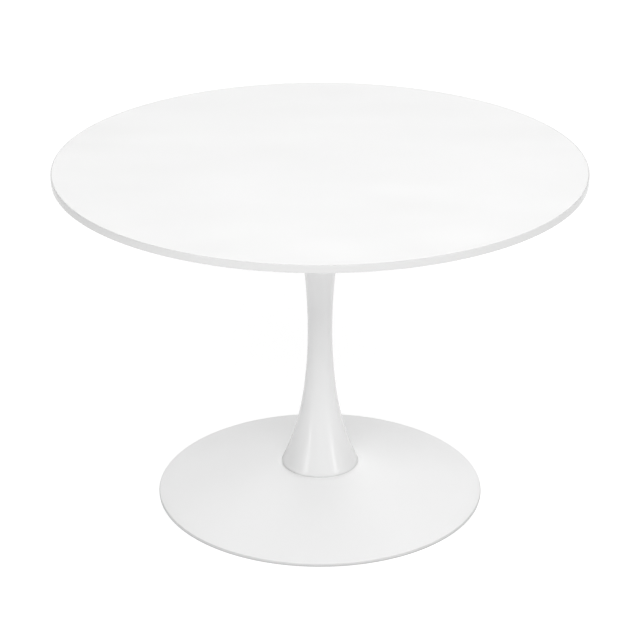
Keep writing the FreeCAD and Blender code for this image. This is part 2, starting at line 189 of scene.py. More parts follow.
floor_mesh = bpy.data.meshes.new("floor")
edge = FLOOR_HALF_WIDTH
floor_corners = [(-edge, -edge, 0), (edge, -edge, 0), (edge, edge, 0), (-edge, edge, 0)]
floor_mesh.from_pydata(floor_corners, [], [(0, 1, 2, 3)])
floor_mesh.materials.append(glowing_acrylic())
floor = bpy.data.objects.new("floor", floor_mesh)
bpy.context.scene.collection.objects.link(floor)
floor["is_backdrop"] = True
print("The floor is", 2 * edge, "m across")

# %% Light the sky evenly
SKY_STRENGTH = 0.12

world = bpy.data.worlds.new("studio")
bpy.context.scene.world = world
world.use_nodes = True
sky = world.node_tree.nodes["Background"]
sky.inputs["Color"].default_value = (1, 1, 1, 1)
sky.inputs["Strength"].default_value = SKY_STRENGTH
bpy.context.scene.view_settings.view_transform = "Standard"
print("The sky's strength is", SKY_STRENGTH)

# %% Hang the softboxes
def softbox(name, place, aim, width, height, power):
    """A rectangular area light at a place, facing a point."""
    lamp = bpy.data.lights.new(name, "AREA")
    lamp.shape = "RECTANGLE"
    lamp.size = width
    lamp.size_y = height
    lamp.energy = power
    light = bpy.data.objects.new(name, lamp)
    light.location = place
    light.rotation_euler = (Vector(aim) - Vector(place)).to_track_quat("-Z", "Y").to_euler()
    bpy.context.scene.collection.objects.link(light)


MIDDLE = (0, 0, 0.4)
FOOT = (0, 0, 0.3)
softbox("overhead", (0.0, 0.0, 4.2), MIDDLE, 5.0, 5.0, 68)
softbox("front_high", (0, -4.4, 4.2), MIDDLE, 4.0, 2.0, 190)
softbox("right_high", (4.2, 0.4, 2.8), MIDDLE, 3.0, 2.4, 38)
softbox("back_high", (0, 4.4, 3.0), MIDDLE, 4.0, 2.0, 60)
softbox("back_low", (0, 4.2, 0.9), FOOT, 4.0, 1.6, 23)
softbox("right_strip", (2.6, -2.3, 0.95), FOOT, 0.65, 1.7, 11)
softbox("left_strip", (-2.4, -2.5, 0.95), FOOT, 0.65, 1.7, 12)

# %% [markdown]
# ## Mixing finishes
#
# Every finish starts from the same shader and differs in a few honest ways: its colour, how
# sharp its reflections are, and the small relief of its skin. A picture of each surface could
# be wrapped on instead, but patterns that are worked out in space have the right size
# everywhere and no seams, and they stay on a piece when it moves.

# %% Start a finish
finishes = {}


def add_node(finish, kind, **inputs):
    """Adds a node to a finish, with some of its inputs set by name."""
    node = finish.node_tree.nodes.new(kind)
    for name, value in inputs.items():
        node.inputs[name.replace("_", " ")].default_value = value
    return node


def start_finish(slot, colour, roughness, metallic=0.0):
    """A plain finish for one of the record's material slots, to be detailed afterwards."""
    finish = bpy.data.materials.new(slot)
    finish.use_nodes = True
    shader = finish.node_tree.nodes["Principled BSDF"]
    shader.inputs["Base Color"].default_value = (*colour, 1)
    shader.inputs["Roughness"].default_value = roughness
    shader.inputs["Metallic"].default_value = metallic
    finish.diffuse_color = (*colour, 1)
    finishes[slot] = finish
    return finish


def place_on_piece(finish, stretch=(1, 1, 1)):
    """A point's place on its own piece, in metres, squeezed or stretched along the axes."""
    place = add_node(finish, "ShaderNodeTexCoord")
    mapping = add_node(finish, "ShaderNodeMapping", Scale=stretch)
    finish.node_tree.links.new(place.outputs["Object"], mapping.inputs["Vector"])
    return mapping.outputs["Vector"]


# %% Give a skin its relief
def grain(finish, size, detail=2.0, stretch=(1, 1, 1)):
    """Soft random lumps of about this size, in metres, from 0 to 1."""
    noise = add_node(finish, "ShaderNodeTexNoise", Scale=1 / size, Detail=detail)
    finish.node_tree.links.new(place_on_piece(finish, stretch), noise.inputs["Vector"])
    return noise.outputs["Fac"]


def raise_skin(finish, height, depth):
    """Bumps the surface by a height of 0 to 1 times a depth in metres, over earlier bumps."""
    links = finish.node_tree.links
    shader = finish.node_tree.nodes["Principled BSDF"]
    bump = add_node(finish, "ShaderNodeBump", Strength=1.0, Distance=depth)
    links.new(height, bump.inputs["Height"])
    for earlier in shader.inputs["Normal"].links:
        links.new(earlier.from_socket, bump.inputs["Normal"])
    links.new(bump.outputs["Normal"], shader.inputs["Normal"])


# %% Let gloss and colour wander
def remap(finish, value, low, high, from_low=0.3, from_high=0.7):
    """Spreads the middle of a 0 to 1 pattern over the range from low to high."""
    spread = add_node(
        finish,
        "ShaderNodeMapRange",
        From_Min=from_low,
        From_Max=from_high,
        To_Min=low,
        To_Max=high,
    )
    finish.node_tree.links.new(value, spread.inputs["Value"])
    return spread.outputs["Result"]


def vary_gloss(finish, pattern, low, high):
    """Roughness that follows a pattern between two values."""
    shader = finish.node_tree.nodes["Principled BSDF"]
    rough = remap(finish, pattern, low, high)
    finish.node_tree.links.new(rough, shader.inputs["Roughness"])


def tint(finish, amount, colour):
    """Mixes a colour over the finish where the amount, from 0 to 1, says."""
    links = finish.node_tree.links
    base = finish.node_tree.nodes["Principled BSDF"].inputs["Base Color"]
    mix = add_node(finish, "ShaderNodeMix")
    mix.data_type = "RGBA"
    under, over = mix.inputs[6], mix.inputs[7]
    under.default_value = base.default_value
    over.default_value = (*colour, 1)
    for earlier in base.links:
        links.new(earlier.from_socket, under)
    links.new(amount, mix.inputs[0])
    links.new(mix.outputs[2], base)


# %% [markdown]
# ### The white laminate
#
# The face of the top is a hard melamine sheet, pressed on with a fine satin plate. Close up it
# has a leathery grain well under a millimetre across, and cloths leave it a little shinier
# along their strokes. A glossy shader alone would look like glass, so the grain breaks up the
# reflections and a long, faint streak pattern moves the gloss.

# %% Mix the laminate
laminate = start_finish("top_laminate", (0.80, 0.80, 0.798), 0.36)
raise_skin(laminate, grain(laminate, 0.0007), 0.000006)
vary_gloss(laminate, grain(laminate, 0.22, 4.0, (1, 3, 1)), 0.33, 0.41)
tint(laminate, remap(laminate, grain(laminate, 0.15), 0.0, 0.05), (0.78, 0.78, 0.77))
print("Laminate nodes:", len(laminate.node_tree.nodes))

# %% [markdown]
# ### The white edging
#
# The edge band is a soft plastic strip, glued round the board and trimmed flush. It is smoother
# than the laminate, and the trimmer leaves very fine lines along it. It is mixed a good deal
# greyer than the face too: that grey is painted shade on the band's upright side, and the tone
# was nudged like the other whites.

# %% Mix the edging
# The grey base colour here is painted shade on the band's upright side.
edging = start_finish("edge_band", (0.65, 0.65, 0.648), 0.17)
raise_skin(edging, grain(edging, 0.0012, 1.0, (1, 1, 6)), 0.000005)
vary_gloss(edging, grain(edging, 0.05, 3.0, (1, 1, 8)), 0.14, 0.20)
print("Edging nodes:", len(edging.node_tree.nodes))

# %% [markdown]
# ### Two white powder coats
#
# The column is sprayed with a smooth powder that melts into a satin gloss, with the slow ripple
# that painters call orange peel. The base takes knocks from shoes and brooms, so it has a finer,
# duller powder that hides them.
#
# The two whites aren't measured colours, and neither are the laminate's and the edging's. Each
# was nudged until its tone looked right under this studio's lights, so the column's paint came
# out a shade darker than the base's, though on the real table they may be the same paint. That
# darker white on the column is painted shade.

# %% Mix the column's paint
# The column's darker white is painted shade.
column_paint = start_finish("column_paint", (0.785, 0.785, 0.785), 0.23)
raise_skin(column_paint, grain(column_paint, 0.0028, 1.0), 0.000010)
raise_skin(column_paint, grain(column_paint, 0.0006, 2.0), 0.000003)
vary_gloss(column_paint, grain(column_paint, 0.06, 3.0), 0.21, 0.25)
print("Column paint nodes:", len(column_paint.node_tree.nodes))

# %% Mix the base's paint, with faint scuffs near its rim
base_paint = start_finish("base_paint", (0.86, 0.86, 0.86), 0.42)
raise_skin(base_paint, grain(base_paint, 0.0009, 2.0), 0.000014)
vary_gloss(base_paint, grain(base_paint, 0.09, 4.0), 0.38, 0.46)


def towards_rim(finish, start, end):
    """0 inside the start radius and 1 from the end radius out."""
    links = finish.node_tree.links
    flat = add_node(finish, "ShaderNodeVectorMath")
    flat.operation = "MULTIPLY"
    flat.inputs[1].default_value = (1, 1, 0)
    links.new(place_on_piece(finish), flat.inputs[0])
    radius = add_node(finish, "ShaderNodeVectorMath")
    radius.operation = "LENGTH"
    links.new(flat.outputs["Vector"], radius.inputs[0])
    return remap(finish, radius.outputs["Value"], 0.0, 1.0, start, end)


def both(finish, first, second):
    """The product of two patterns."""
    product = add_node(finish, "ShaderNodeMath")
    product.operation = "MULTIPLY"
    finish.node_tree.links.new(first, product.inputs[0])
    finish.node_tree.links.new(second, product.inputs[1])
    return product.outputs["Value"]


SCUFF_WIDTH = 0.03
base_radius = outer_radius("base_dish")
scuffed = towards_rim(base_paint, base_radius - SCUFF_WIDTH, base_radius)
scratches = remap(base_paint, grain(base_paint, 0.006, 6.0, (1, 1, 4)), 0.0, 0.12, 0.62, 0.75)
tint(base_paint, both(base_paint, scuffed, scratches), (0.45, 0.45, 0.44))
print("Base paint nodes:", len(base_paint.node_tree.nodes))

# %% [markdown]
# ### A grey line round the base
#
# The real rim reads as a thin grey line, darkest at its foot, and most of that is probably shading.
# But the glowing floor here lights the rim until it is nearly white, and none of the mixes of
# lights that were tried brought the line back and kept the base right. So the grey is painted
# shade, mixed into the paint instead, and it stays when the lights change.
# One mask goes by the distance from the middle, and one by the height over the floor.

# %% Paint shade on the rim
GREY_FROM_EDGE = 0.0016
GREY_FULLY = 0.0003


def towards_floor(finish, start, end):
    """0 above the start height and 1 from the end height down."""
    split = add_node(finish, "ShaderNodeSeparateXYZ")
    finish.node_tree.links.new(place_on_piece(finish), split.inputs["Vector"])
    return remap(finish, split.outputs["Z"], 1.0, 0.0, end, start)


painted_shade_rim = towards_rim(base_paint, base_radius - GREY_FROM_EDGE, base_radius - GREY_FULLY)
# Painted shade: the last millimetres of the rim are greyed to stand in for the shading there.
tint(base_paint, painted_shade_rim, (0.62, 0.62, 0.62))
print(f"The paint is greyed over the last {1000 * GREY_FROM_EDGE:.1f} mm of the rim")

# %% Paint a darker shade on the rim's foot
FOOT_FROM = 0.004
FOOT_FULLY = 0.0015

rim_foot = low_and_high("base_dish")[0]
foot_shade_mask = towards_floor(base_paint, rim_foot + FOOT_FROM, rim_foot + FOOT_FULLY)
# Painted shade: the rim's foot is darker still, standing in for the shadow line along the floor.
tint(base_paint, both(base_paint, painted_shade_rim, foot_shade_mask), (0.44, 0.44, 0.44))
print(f"The rim's foot is {1000 * rim_foot:.1f} mm over the floor")

# %% [markdown]
# ### Metals, board and plastics under the table
#
# Nobody sees these from a chair, but they tell how the table is made. The spider is matt black,
# the fasteners are zinc plated with their faintly mottled crystals, the ballast is a painted
# sand casting, and the pads are moulded nylon. Each gets the relief of its own process.

# %% Mix the black powder coat
frame_paint = start_finish("frame_paint", (0.022, 0.022, 0.023), 0.5)
raise_skin(frame_paint, grain(frame_paint, 0.0011, 2.0), 0.00002)
vary_gloss(frame_paint, grain(frame_paint, 0.04, 4.0), 0.44, 0.56)
tint(frame_paint, remap(frame_paint, grain(frame_paint, 0.03), 0.0, 0.3), (0.04, 0.04, 0.042))
print("Black coat nodes:", len(frame_paint.node_tree.nodes))

# %% Mix the zinc plate and the bare steel
zinc = start_finish("zinc_steel", (0.70, 0.71, 0.73), 0.3, metallic=1.0)
raise_skin(zinc, grain(zinc, 0.0005, 3.0), 0.000004)
vary_gloss(zinc, grain(zinc, 0.004, 3.0), 0.24, 0.42)
tint(zinc, remap(zinc, grain(zinc, 0.003), 0.0, 0.5), (0.58, 0.59, 0.58))

bare_steel = start_finish("bare_steel", (0.50, 0.50, 0.51), 0.45, metallic=1.0)
raise_skin(bare_steel, grain(bare_steel, 0.0006, 3.0, (1, 8, 1)), 0.000006)
vary_gloss(bare_steel, grain(bare_steel, 0.01, 4.0), 0.36, 0.55)
tint(bare_steel, remap(bare_steel, grain(bare_steel, 0.012), 0.0, 0.6), (0.34, 0.33, 0.32))
print("Zinc and bare steel are mixed")

# %% Mix the cast iron
ballast_iron = start_finish("ballast_iron", (0.045, 0.045, 0.048), 0.6)
raise_skin(ballast_iron, grain(ballast_iron, 0.006, 3.0), 0.0003)
raise_skin(ballast_iron, grain(ballast_iron, 0.0012, 2.0), 0.00008)
vary_gloss(ballast_iron, grain(ballast_iron, 0.015, 4.0), 0.5, 0.72)
tint(ballast_iron, remap(ballast_iron, grain(ballast_iron, 0.02, 5.0), 0.0, 0.4), (0.09, 0.08, 0.075))
print("Cast iron nodes:", len(ballast_iron.node_tree.nodes))

# %% Mix the gasket's rubber, the pads' nylon and the board
gasket_rubber = start_finish("gasket_rubber", (0.72, 0.72, 0.715), 0.45)
raise_skin(gasket_rubber, grain(gasket_rubber, 0.0004, 2.0), 0.00001)
vary_gloss(gasket_rubber, grain(gasket_rubber, 0.01, 2.0), 0.38, 0.5)

glide_plastic = start_finish("glide_plastic", (0.085, 0.085, 0.09), 0.5)
raise_skin(glide_plastic, grain(glide_plastic, 0.0007, 1.0), 0.000015)
vary_gloss(glide_plastic, grain(glide_plastic, 0.008, 3.0), 0.42, 0.58)
tint(glide_plastic, remap(glide_plastic, grain(glide_plastic, 0.004, 5.0), 0.0, 0.35, 0.5, 0.8),
     (0.2, 0.2, 0.2))

board_core = start_finish("board_core", (0.60, 0.47, 0.32), 0.85)
raise_skin(board_core, grain(board_core, 0.0009, 5.0, (1, 1, 4)), 0.00008)
tint(board_core, remap(board_core, grain(board_core, 0.0012, 6.0, (1, 1, 3)), 0.0, 0.7),
     (0.42, 0.31, 0.20))
print("Finishes:", sorted(finishes))

# %% Paint every CAD part that stays
slot_of = {part["node"]: part["material_slot"] for part in frame["record"]["subparts"]}
bodies = frame["record"]["behaviour"]["bodies"]
body_of = {node: body for body, nodes in bodies.items() for node in nodes}
for node, part in frame["nodes"].items():
    part.data.materials.clear()
    part.data.materials.append(finishes[slot_of[node]])
print("Painted", len(frame["nodes"]), "parts")

# %% [markdown]
# ## Turning on a lathe
#
# A turned piece is an outline swept round the middle. Blender's Screw modifier or a Spin would
# do that for a plain outline. A nut, a socket or a thread is nearly the same thing, but its
# outline changes as it goes round, so one helper asks for the outline at each angle and
# stitches neighbours together. It makes clean rings of four-sided faces either way.

# %% Stitch outlines into a mesh
def lofted(sections, closed=False):
    """Points and faces through closed loops of points. Open lofts get a cap at each end."""
    count = len(sections[0])
    total = len(sections) * count
    faces = []
    for stop in range(len(sections) if closed else len(sections) - 1):
        here, there = stop * count, (stop + 1) * count % total
        for i in range(count):
            j = (i + 1) % count
            faces.append((here + i, there + i, there + j, here + j))
    if not closed:
        faces.append(tuple(range(count)))
        faces.append(tuple(range(total - count, total)))
    return [point for section in sections for point in section], faces


def stitched(outline_at, steps, sweep=2 * math.pi):
    """A loft through the outlines (radius, height) that are met on the way round."""
    closed = sweep == 2 * math.pi
    sections = []
    for stop in range(steps if closed else steps + 1):
        angle = sweep * stop / steps
        cos, sin = math.cos(angle), math.sin(angle)
        sections.append([(r * cos, r * sin, height) for r, height in outline_at(angle)])
    return lofted(sections, closed)


# %% Turn a mesh into a finished piece
SHARP = math.radians(32)


def make_piece(name, shells, *nodes, slot=None, body="table"):
    """One piece from closed shells of (points, faces), standing for these CAD nodes if any."""
    points, faces = [], []
    for shell_points, shell_faces in shells:
        start = len(points)
        points += shell_points
        faces += [tuple(start + i for i in face) for face in shell_faces]
    mesh = bpy.data.meshes.new(name)
    mesh.from_pydata(points, [], faces)
    tidy = bmesh.new()
    tidy.from_mesh(mesh)
    bmesh.ops.remove_doubles(tidy, verts=tidy.verts, dist=1e-7)
    bmesh.ops.dissolve_degenerate(tidy, edges=tidy.edges, dist=1e-7)
    bmesh.ops.recalc_face_normals(tidy, faces=tidy.faces)
    tidy.to_mesh(mesh)
    tidy.free()
    mesh.shade_smooth()
    mesh.set_sharp_from_angle(angle=SHARP)
    piece = bpy.data.objects.new(name, mesh)
    bpy.context.scene.collection.objects.link(piece)
    if nodes:
        slot = slot_of[nodes[0]]
        body = body_of[nodes[0]]
        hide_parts(*nodes)
    mesh.materials.append(finishes[slot])
    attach(piece, body)
    print(name, "has", len(mesh.polygons), "faces")


# %% [markdown]
# ### Rounding corners
#
# No edge on a pressed, spun or trimmed piece is truly sharp, and it is the tiny round that
# shows as a bright line. A Bevel modifier rounds every edge alike. Here each corner of an
# outline has its own radius, as on a workshop drawing.

# %% Round the corners of an outline
def rounded(corners, steps=6):
    """An outline from corners (radius, height, round), with an arc in place of each."""
    outline = []
    for i, (radius, height, size) in enumerate(corners):
        here = Vector((radius, height))
        if not size:
            outline.append((radius, height))
            continue
        before = (Vector(corners[i - 1][:2]) - here).normalized()
        after = (Vector(corners[(i + 1) % len(corners)][:2]) - here).normalized()
        half = before.angle(after) / 2
        middle = here + (before + after).normalized() * size / math.sin(half)
        start = here + before * size / math.tan(half) - middle
        turn = start.angle_signed(here + after * size / math.tan(half) - middle)
        for step in range(steps + 1):
            angle = -turn * step / steps
            cos, sin = math.cos(angle), math.sin(angle)
            spoke = Vector((start.x * cos - start.y * sin, start.x * sin + start.y * cos))
            outline.append(tuple(middle + spoke))
    return outline


def turned(corners, steps=192, round_steps=6):
    """A shell turned from corners whose outline is the same all the way round."""
    outline = rounded(corners, round_steps)
    return stitched(lambda angle: outline, steps)


# %% [markdown]
# ## The top
#
# The top is a fibreboard disc between two sheets of laminate, and a plastic band hides its
# edge. Where the face meets the band there is a hairline, because both are trimmed with a tiny
# bevel. The face could be a flat circle, but then that hairline and the thickness are lost.

# %% Make the laminate face
TRIM_BEVEL = 0.0002
RIM_STEPS = 256

face_low, face_high = low_and_high("top_laminate")
face_radius = outer_radius("top_laminate")
RING_SHARES = (0.04, 0.1, 0.2, 0.35, 0.5, 0.65, 0.8, 0.92)
face_corners = [(0, face_high, 0)]
face_corners += [(face_radius * share, face_high, 0) for share in RING_SHARES]
face_corners += [
    (face_radius - TRIM_BEVEL, face_high, 0),
    (face_radius, face_high - TRIM_BEVEL, 0),
    (face_radius, face_low, 0),
    (0, face_low, 0),
]
make_piece("laminate_face", [turned(face_corners, RIM_STEPS)], "top_laminate")

# %% Make the edge band, with its butt joint at the back
BAND_ARRIS = 0.0012
BUTT_GAP = 0.00012

band_low, band_high = low_and_high("edge_band")
band_radius = outer_radius("edge_band")
band_inner = innermost("edge_band")
band_outline = rounded([
    (band_inner, band_low, 0),
    (band_radius, band_low, BAND_ARRIS),
    (band_radius, band_high, BAND_ARRIS),
    (band_inner + TRIM_BEVEL, band_high, 0),
    (band_inner, band_high - TRIM_BEVEL, 0),
], 8)
band_sweep = 2 * math.pi - BUTT_GAP / band_radius
band_points, band_faces = stitched(lambda angle: band_outline, RIM_STEPS, band_sweep)
band_points = [(-y, x, z) for x, y, z in band_points]
make_piece("edge_strip", [(band_points, band_faces)], "edge_band")

# %% [markdown]
# ## The column
#
# The column is one sheet of steel, spun over a former into a trumpet at both ends. Its curve is
# the one a hanging chain makes: almost straight at the waist, and opening faster and faster
# towards the foot. A few control points and a spline would also do, but the formula has no
# wobble, and long soft reflections show every wobble.

# %% Work out the column's curve
WAIST_HEIGHT = 0.377
FLARE_SHARPNESS = 2.0
COLUMN_LIP = 0.0025
COLUMN_WALL = 0.002
LIP_ROUND = 0.0006

column_low, column_high = low_and_high("column_shell")
column_corners = reach_and_height("column_shell")
foot_radius = max(reach for reach, height in column_corners if height < WAIST_HEIGHT)
head_radius = max(reach for reach, height in column_corners if height > WAIST_HEIGHT)
WAIST_RADIUS = 0.0262


def column_radius(height):
    """The outer radius of the column at a height."""
    below = height < WAIST_HEIGHT
    end_radius = foot_radius if below else head_radius
    end = column_low + COLUMN_LIP if below else column_high - COLUMN_LIP
    share = min(abs((height - WAIST_HEIGHT) / (end - WAIST_HEIGHT)), 1.0)
    flare = (math.cosh(FLARE_SHARPNESS * share) - 1) / (math.cosh(FLARE_SHARPNESS) - 1)
    return WAIST_RADIUS + (end_radius - WAIST_RADIUS) * flare


def column_bore(height):
    """The inner radius, one wall in from the outer face, square to the sheet."""
    step = 0.0005
    slope = (column_radius(height + step) - column_radius(height - step)) / (2 * step)
    return column_radius(height) - COLUMN_WALL * math.hypot(1.0, slope)


print("Foot", foot_radius, "waist", WAIST_RADIUS, "head", head_radius)

# %% Spin the column
COLUMN_ROWS = 96
COLUMN_STEPS = 128

low_lip = column_low + COLUMN_LIP
high_lip = column_high - COLUMN_LIP
heights = [low_lip + (high_lip - low_lip) * i / COLUMN_ROWS for i in range(COLUMN_ROWS + 1)]
foot_bore, head_bore = column_bore(low_lip), column_bore(high_lip)
foot_lip = rounded([
    (foot_bore, low_lip, 0),
    (foot_bore, column_low, LIP_ROUND),
    (foot_radius, column_low, LIP_ROUND),
    (foot_radius, low_lip, 0),
])
head_lip = rounded([
    (head_radius, high_lip, 0),
    (head_radius, column_high, LIP_ROUND),
    (head_bore, column_high, LIP_ROUND),
    (head_bore, high_lip, 0),
])
outside = [(column_radius(z), z) for z in heights[1:-1]]
inside = [(column_bore(z), z) for z in reversed(heights[1:-1])]
column_outline = foot_lip + outside + head_lip + inside
column_shell = stitched(lambda angle: column_outline, COLUMN_STEPS)
make_piece("trumpet_column", [column_shell], "column_shell")

# %% [markdown]
# ## The base
#
# The base is a steel dish, pressed with a flat seat for the column and a low cone that runs out
# to a turned-down rim. The press leaves a generous bend round the seat, a small round at the
# top of the rim and a smaller one along its lower edge. All three are modelled, because they
# catch the light. The rim's grey line doesn't come from them: it is painted shade, mixed into
# the paint as told above.

# %% Press the dish
SEAT_RADIUS = 0.092
SEAT_BEND = 0.024
RIM_HEIGHT = 0.010
RIM_TOP_ROUND = 0.003
RIM_FOOT_ROUND = 0.0012
SHEET = 0.003

dish_low, dish_high = low_and_high("base_dish")
dish_bore = innermost("base_dish")
cone_slope = (dish_high - RIM_HEIGHT) / (base_radius - SEAT_RADIUS)
sheet_drop = SHEET * math.hypot(1.0, cone_slope)


def cone_height(radius, below=0.0):
    """The height of the cone's outer face, or of a face this far straight below it."""
    return RIM_HEIGHT + (base_radius - radius) * cone_slope - below


def cone_reach(height, below=0.0):
    """The radius at which such a face has a height."""
    return base_radius - (height - RIM_HEIGHT + below) / cone_slope


CONE_RINGS = 6
seat_under = dish_high - SHEET
rings = [SEAT_RADIUS + (base_radius - SEAT_RADIUS) * (i + 0.5) / CONE_RINGS for i in range(CONE_RINGS)]
rings = [r for r in rings if SEAT_RADIUS + SEAT_BEND < r < base_radius - 2 * RIM_TOP_ROUND]
lip_inner = base_radius - SHEET
dish_corners = [(dish_bore, dish_high, 0), (SEAT_RADIUS, dish_high, SEAT_BEND)]
dish_corners += [(r, cone_height(r), 0) for r in rings]
dish_corners += [
    (base_radius, RIM_HEIGHT, RIM_TOP_ROUND),
    (base_radius, dish_low, RIM_FOOT_ROUND),
    (lip_inner, dish_low, RIM_FOOT_ROUND),
    (lip_inner, cone_height(lip_inner, sheet_drop), 0),
]
dish_corners += [(r, cone_height(r, sheet_drop), 0) for r in reversed(rings)]
dish_corners += [
    (cone_reach(seat_under, sheet_drop), seat_under, SEAT_BEND - SHEET),
    (dish_bore, seat_under, 0),
]
make_piece("pressed_base", [turned(dish_corners, RIM_STEPS, 10)], "base_dish")

# %% Seat the gasket
GASKET_ROUND = 0.0005

gasket_low, gasket_high = low_and_high("foot_gasket")
gasket_inner, gasket_outer = innermost("foot_gasket"), outer_radius("foot_gasket")
gasket = turned([
    (gasket_inner, gasket_low, 0),
    (gasket_outer, gasket_low, GASKET_ROUND),
    (gasket_outer, gasket_high, GASKET_ROUND),
    (gasket_inner, gasket_high, 0),
], COLUMN_STEPS)
make_piece("foot_seal", [gasket], "foot_gasket")

# %% [markdown]
# ## Plates and washers
#
# The plates under the table are cut from sheet and the washers are stamped. A cutter leaves a
# small burr that is tumbled off, so every edge has a round of a few tenths of a millimetre.
# They are turned like everything else, and only the size of the round changes.

# %% Turn a flat ring on its own middle
def flat_ring(inner, outer, low, high, edge_round, steps=96):
    """A ring with a small round on its outer edges, and on the inner ones if it has a hole."""
    inner_round = edge_round if inner else 0
    return turned([
        (inner, low, inner_round),
        (outer, low, edge_round),
        (outer, high, edge_round),
        (inner, high, inner_round),
    ], steps, 3)


def at(shell, place, angle=0.0):
    """A copy of a shell, turned on its upright axis and then moved."""
    points, faces = shell
    turn = Matrix.Rotation(angle, 3, "Z")
    return [tuple(turn @ Vector(point) + Vector(place)) for point in points], faces


def plain_plate(name, node, edge_round):
    """A centred ring with a node's hole, width and height."""
    low, high = low_and_high(node)
    shell = flat_ring(innermost(node), outer_radius(node), low, high, edge_round)
    make_piece(name, [shell], node)


plain_plate("hub_plate", "spider_hub", 0.0006)
plain_plate("seat_plate", "crown_plate", 0.0005)
plain_plate("rod_plain_washer", "rod_washer", 0.0005)

# %% Stamp the small washers
WASHER_ROUND = 0.0003
WASHER_STEPS = 40


def stamped_washers(name, node, hole):
    """Washers with a hole of this radius at each copy in a node."""
    shells = []
    for middle, size in copies_in(node):
        half = size.z / 2
        washer = flat_ring(hole, size.x / 2, -half, half, WASHER_ROUND, WASHER_STEPS)
        shells.append(at(washer, middle))
    make_piece(name, shells, node)


M6_HOLE = 0.0033
M8_HOLE = 0.0043
stamped_washers("arm_washers", "spider_washers", M6_HOLE)
stamped_washers("ballast_flat_washers", "ballast_washers", M8_HOLE)

# %% Coil the spring washer
SPRING_WASHER_GAP = 0.002
COIL_STEPS = 60

coil_low, coil_high = low_and_high("rod_spring_washer")
coil_inner, coil_outer = innermost("rod_spring_washer"), -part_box("rod_spring_washer")[0].x
coil_outline = rounded([
    (coil_inner, coil_low, WASHER_ROUND),
    (coil_outer, coil_low, WASHER_ROUND),
    (coil_outer, coil_high, WASHER_ROUND),
    (coil_inner, coil_high, WASHER_ROUND),
], 3)
coil_gap = SPRING_WASHER_GAP / coil_outer
coil = stitched(lambda angle: coil_outline, COIL_STEPS, 2 * math.pi - coil_gap)
make_piece("rod_split_washer", [at(coil, (0, 0, 0), coil_gap / 2)], "rod_spring_washer")

# %% [markdown]
# ## Nuts, screws and threads
#
# A nut is a hexagon whose faces were turned to shallow cones, and that is what leaves the
# curved corners. A thread is a ridge that climbs one pitch a turn. Both could be cut with
# booleans, which leave ragged faces. Asking the lathe for a different outline at each angle
# gives the same shapes with a clean grid.

# %% Turn a hexagonal nut
NUT_FACE_SHARE = 0.95
NUT_CONE = math.tan(math.radians(30))
HEX_STEPS = 72
COUNTERSINK = 0.0005


def hex_radius(angle, across, corner=0.0):
    """How far a hexagon reaches at an angle, if one of its corners points this way."""
    return across / 2 / math.cos((angle - corner) % (math.pi / 3) - math.pi / 6)


def hex_nut(size, bore):
    """A nut of this size, on its own middle, with its corners where the CAD's are."""
    across, half = min(size.x, size.y), size.z / 2
    corner = 0.0 if size.x > size.y else math.pi / 6
    face = across / 2 * NUT_FACE_SHARE

    def outline(angle):
        flat = hex_radius(angle, across, corner)
        drop = (flat - face) * NUT_CONE
        lower = [(bore, COUNTERSINK - half), (bore + COUNTERSINK, -half), (face, -half)]
        upper = [(face, half), (bore + COUNTERSINK, half), (bore, half - COUNTERSINK)]
        return lower + [(flat, drop - half), (flat, half - drop)] + upper

    return stitched(outline, HEX_STEPS)


M8_THREAD = 0.00406
M12_THREAD = 0.00606
for name, node, bore in (
    ("rod_hex_nut", "rod_nut", M12_THREAD),
    ("ballast_hex_nuts", "ballast_nuts", M8_THREAD),
    ("glide_weld_nuts", "glide_nuts", M8_THREAD),
):
    make_piece(name, [at(hex_nut(size, bore), middle) for middle, size in copies_in(node)], node)

# %% Cut a thread
ROWS_PER_TURN = 6
THREAD_DEPTH = 0.55
FLANK_SLOPE = 1.4
CREST_CUT = 0.25
END_CHAMFER = 0.0008


def thread_rows(radius, low, high, pitch, angle):
    """The side of a right-hand thread at an angle, from low to high, with chamfered ends."""
    rows = math.ceil((high - low) / pitch * ROWS_PER_TURN)
    side = []
    for row in range(rows + 1):
        height = low + (high - low) * row / rows
        turn = (height - low) / pitch - angle / (2 * math.pi)
        ridge = abs(turn % 1 - 0.5) * 2
        valley = min(max(ridge * FLANK_SLOPE - CREST_CUT, 0.0), 1.0) * THREAD_DEPTH * pitch
        end = radius - END_CHAMFER + min(height - low, high - height)
        side.append((min(radius - valley, end), height))
    return side


BAR_STEPS = 40


def threaded_bar(radius, low, high, pitch, steps=BAR_STEPS):
    """A bar that is threaded from end to end."""
    return stitched(
        lambda angle: [(0, low)] + thread_rows(radius, low, high, pitch, angle) + [(0, high)],
        steps,
    )


# %% Thread the tie rod and the ballast studs
M12_PITCH = 0.00175
M8_PITCH = 0.00125
ROD_THREAD_LENGTH = 0.045
ROD_STEP = 0.0002
ROD_ROUND = 0.0005

rod_low, rod_high = low_and_high("tie_rod")
rod_radius = outer_radius("tie_rod")
rod_plain_low, rod_plain_high = rod_low + ROD_THREAD_LENGTH, rod_high - ROD_THREAD_LENGTH
rod_middle = flat_ring(
    0, rod_radius - ROD_STEP, rod_plain_low, rod_plain_high, ROD_ROUND, BAR_STEPS
)
rod_ends = [
    threaded_bar(rod_radius, rod_low, rod_plain_low, M12_PITCH),
    threaded_bar(rod_radius, rod_plain_high, rod_high, M12_PITCH),
]
make_piece("long_tie_rod", [rod_middle] + rod_ends, "tie_rod")

stud_shells = []
for middle, size in copies_in("ballast_studs"):
    stud_low = middle.z - size.z / 2
    stud_high = cone_height(middle.xy.length + size.x / 2, sheet_drop)
    stud = threaded_bar(size.x / 2, stud_low - middle.z, stud_high - middle.z, M8_PITCH)
    stud_shells.append(at(stud, middle))
make_piece("ballast_threaded_studs", stud_shells, "ballast_studs")

